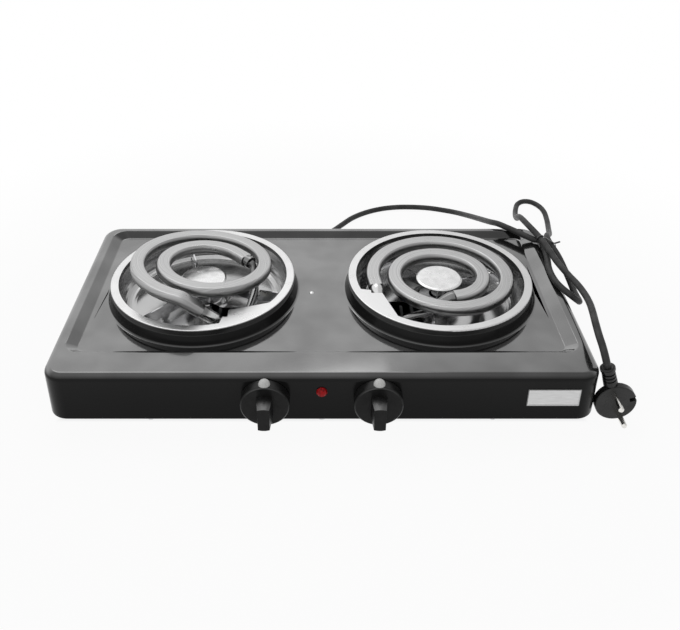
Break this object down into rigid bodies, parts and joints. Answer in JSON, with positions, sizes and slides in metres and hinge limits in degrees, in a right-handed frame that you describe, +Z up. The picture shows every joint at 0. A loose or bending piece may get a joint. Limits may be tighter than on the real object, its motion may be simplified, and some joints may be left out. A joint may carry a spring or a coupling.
{
  "type": "double hot plate burner",
  "caption": "Low enamelled counter-top hot plate with spiral tube burners in chrome drip bowls, front dials, a signal lamp and a plug-in cord folded and tied beside it.",
  "frame": {"origin": "centre of the object's footprint with its knobs, on the surface that its feet stand on; the cord and its plug aren't counted", "axes": "+X to the right seen from the knob side, +Y to the back, +Z up"},
  "size_m": [0.5321, 0.4426, 0.0913],
  "materials": {
    "black_enamel": "gloss enamel",
    "zinc_sheet": "zinc-plated, dull",
    "zinc_screws": "zinc-plated",
    "foot_rubber": "matt",
    "bowl_chrome": "bright plated, pressed",
    "ring_chrome": "satin bright",
    "spider_chrome": "bright plated",
    "disc_steel": "polished",
    "coil_sheath": "matt, fine grinding marks",
    "sleeve_chrome": "bright",
    "ceramic": "glazed ceramic",
    "thermostat_resin": "moulded",
    "spindle_brass": "machined",
    "knob_black": "moulded, slight sheen",
    "bead_white": "moulded",
    "lamp_red": "clear red, faceted inside",
    "nylon_white": "moulded",
    "badge_silver": "satin, bare",
    "rivet_aluminium": "bright",
    "clamp_nylon": "moulded",
    "earth_brass": "plain",
    "wire_brown": "insulated wire",
    "wire_glass_sleeve": "woven glass sleeve",
    "wire_blue": "insulated wire",
    "wire_green_yellow": "insulated wire",
    "gland_black": "moulded",
    "cord_black": "slightly glossy",
    "tie_black": "coated wire",
    "plug_black": "moulded",
    "pin_nickel": "nickel-plated"
  },
  "bodies": {
    "body": {"top_cover": "black_enamel", "base_plate": "zinc_sheet", "base_screws": "zinc_screws", "rubber_feet": "foot_rubber", "foot_screws": "zinc_screws", "drip_bowl_left": "bowl_chrome", "drip_bowl_right": "bowl_chrome", "trim_ring_left": "ring_chrome", "trim_ring_right": "ring_chrome", "spider_left": "spider_chrome", "spider_right": "spider_chrome", "centre_disc_left": "disc_steel", "centre_disc_right": "disc_steel", "heating_coil_left": "coil_sheath", "heating_coil_right": "coil_sheath", "cold_ends_left": "sleeve_chrome", "cold_ends_right": "sleeve_chrome", "ceramic_bushes_left": "ceramic", "ceramic_bushes_right": "ceramic", "coil_bracket_left": "zinc_sheet", "coil_bracket_right": "zinc_sheet", "thermostat_left": "thermostat_resin", "thermostat_right": "thermostat_resin", "thermostat_screws": "zinc_screws", "lamp_lens": "lamp_red", "lamp_holder": "nylon_white", "badge_plate": "badge_silver", "deck_rivet": "rivet_aluminium", "terminal_block": "nylon_white", "cord_clamp": "clamp_nylon", "inside_screws": "zinc_screws", "earth_screw": "earth_brass", "live_wires": "wire_brown", "element_wires": "wire_glass_sleeve", "neutral_wires": "wire_blue", "earth_wires": "wire_green_yellow", "cord_gland": "gland_black", "supply_cord": "cord_black", "cord_tie": "tie_black", "plug_body": "plug_black", "plug_pins": "pin_nickel"},
    "left_knob": {"knob_left": "knob_black", "spindle_left": "spindle_brass", "pointer_bead_left": "bead_white"},
    "right_knob": {"knob_right": "knob_black", "spindle_right": "spindle_brass", "pointer_bead_right": "bead_white"}
  },
  "joints": [
    {"name": "left_knob_turn", "type": "hinge", "parent": "body", "child": "left_knob", "pos_m": [-0.0485, -0.114, 0.031], "axis": [0, 1, 0], "range_deg": [0, 270]},
    {"name": "right_knob_turn", "type": "hinge", "parent": "body", "child": "right_knob", "pos_m": [0.0485, -0.114, 0.031], "axis": [0, 1, 0], "range_deg": [0, 270]}
  ]
}
